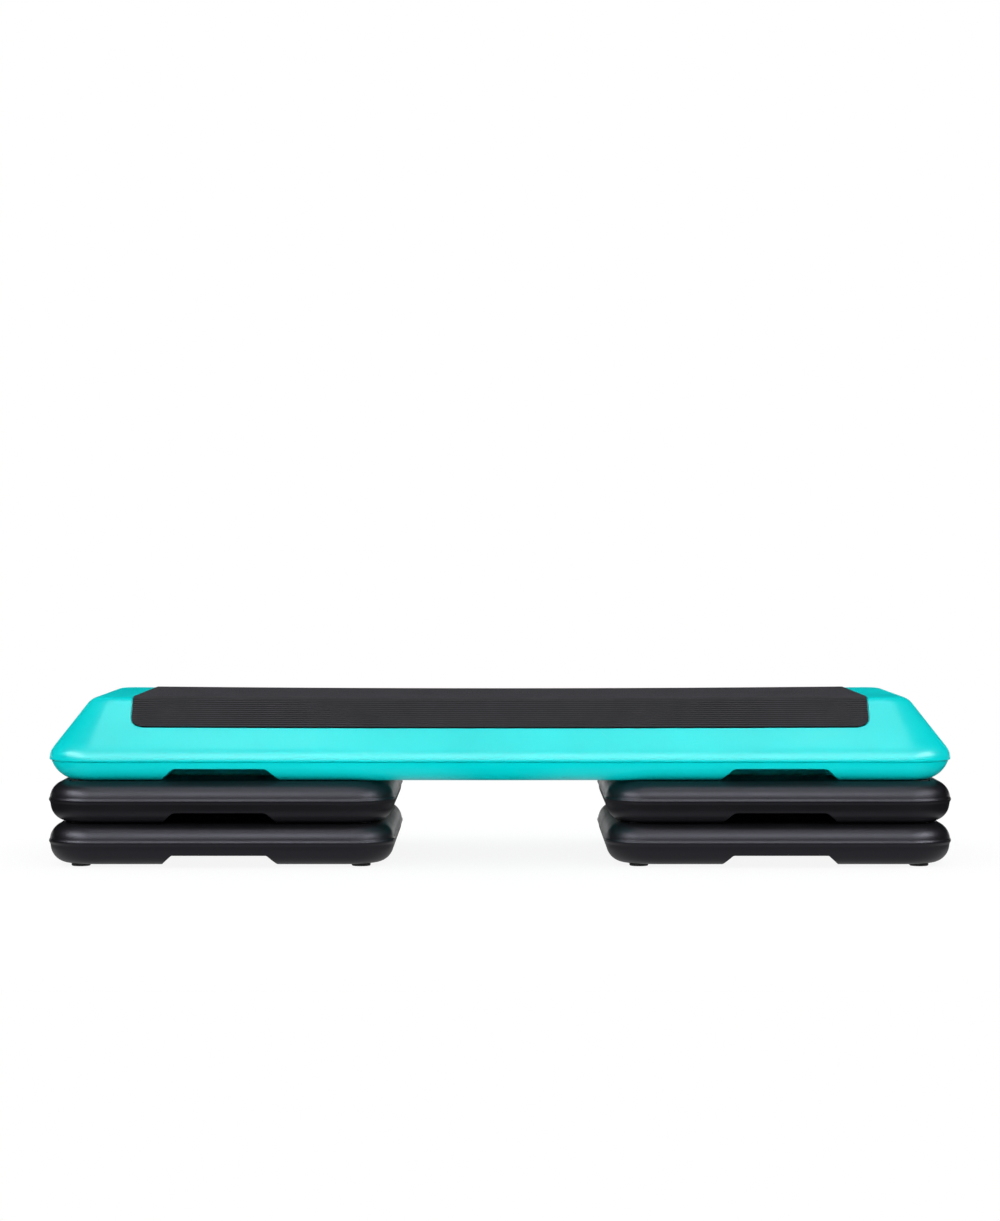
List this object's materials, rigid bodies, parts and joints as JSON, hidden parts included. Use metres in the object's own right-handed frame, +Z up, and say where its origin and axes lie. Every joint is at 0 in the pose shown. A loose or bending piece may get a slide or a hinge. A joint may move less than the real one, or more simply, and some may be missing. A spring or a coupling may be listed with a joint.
{
  "type": "aerobic step platform",
  "caption": "Raised aerobic step: a long platform with sloped sides and a ribbed grip mat, standing on stacked square risers with hand-hold notches and rubber feet.",
  "frame": {"origin": "on the floor, under the centre of the platform", "axes": "+X along the platform's length to the right seen from the front, the front faces -Y, +Z up"},
  "size_m": [1.0982, 0.4212, 0.2051],
  "materials": {
    "teal_plastic": "satin moulded polyethylene",
    "black_plastic": "satin moulded polyethylene",
    "mat_rubber": "ribbed matt rubber",
    "foot_rubber": "matt rubber"
  },
  "bodies": {
    "left_lower_riser_body": {"left_lower_riser": "black_plastic", "left_lower_riser_foot_front_outer": "foot_rubber", "left_lower_riser_foot_front_inner": "foot_rubber", "left_lower_riser_foot_rear_outer": "foot_rubber", "left_lower_riser_foot_rear_inner": "foot_rubber"},
    "left_upper_riser_body": {"left_upper_riser": "black_plastic", "left_upper_riser_foot_front_outer": "foot_rubber", "left_upper_riser_foot_front_inner": "foot_rubber", "left_upper_riser_foot_rear_outer": "foot_rubber", "left_upper_riser_foot_rear_inner": "foot_rubber"},
    "right_lower_riser_body": {"right_lower_riser": "black_plastic", "right_lower_riser_foot_front_outer": "foot_rubber", "right_lower_riser_foot_front_inner": "foot_rubber", "right_lower_riser_foot_rear_outer": "foot_rubber", "right_lower_riser_foot_rear_inner": "foot_rubber"},
    "right_upper_riser_body": {"right_upper_riser": "black_plastic", "right_upper_riser_foot_front_outer": "foot_rubber", "right_upper_riser_foot_front_inner": "foot_rubber", "right_upper_riser_foot_rear_outer": "foot_rubber", "right_upper_riser_foot_rear_inner": "foot_rubber"},
    "platform_body": {"platform_shell": "teal_plastic", "grip_mat": "mat_rubber", "left_platform_foot_front_outer": "foot_rubber", "left_platform_foot_front_inner": "foot_rubber", "left_platform_foot_rear_outer": "foot_rubber", "left_platform_foot_rear_inner": "foot_rubber", "right_platform_foot_front_outer": "foot_rubber", "right_platform_foot_front_inner": "foot_rubber", "right_platform_foot_rear_outer": "foot_rubber", "right_platform_foot_rear_inner": "foot_rubber"}
  },
  "joints": [
    {"name": "upper_risers_lift", "type": "slide", "parent": "left_lower_riser_body", "child": "left_upper_riser_body", "axis": [0, 0, 1], "range_m": [0, 0.12]},
    {"name": "platform_lift", "type": "slide", "parent": "left_upper_riser_body", "child": "platform_body", "axis": [0, 0, 1], "range_m": [0, 0.15]},
    {"name": "right_upper_riser_stays", "type": "slide", "parent": "platform_body", "child": "right_upper_riser_body", "axis": [0, 0, -1], "range_m": [0, 0.15]},
    {"name": "right_lower_riser_stays", "type": "slide", "parent": "right_upper_riser_body", "child": "right_lower_riser_body", "axis": [0, 0, -1], "range_m": [0, 0.12]}
  ],
  "couplings": [
    {"joint": "right_upper_riser_stays", "follows": "platform_lift", "ratio": 1},
    {"joint": "right_lower_riser_stays", "follows": "upper_risers_lift", "ratio": 1}
  ]
}
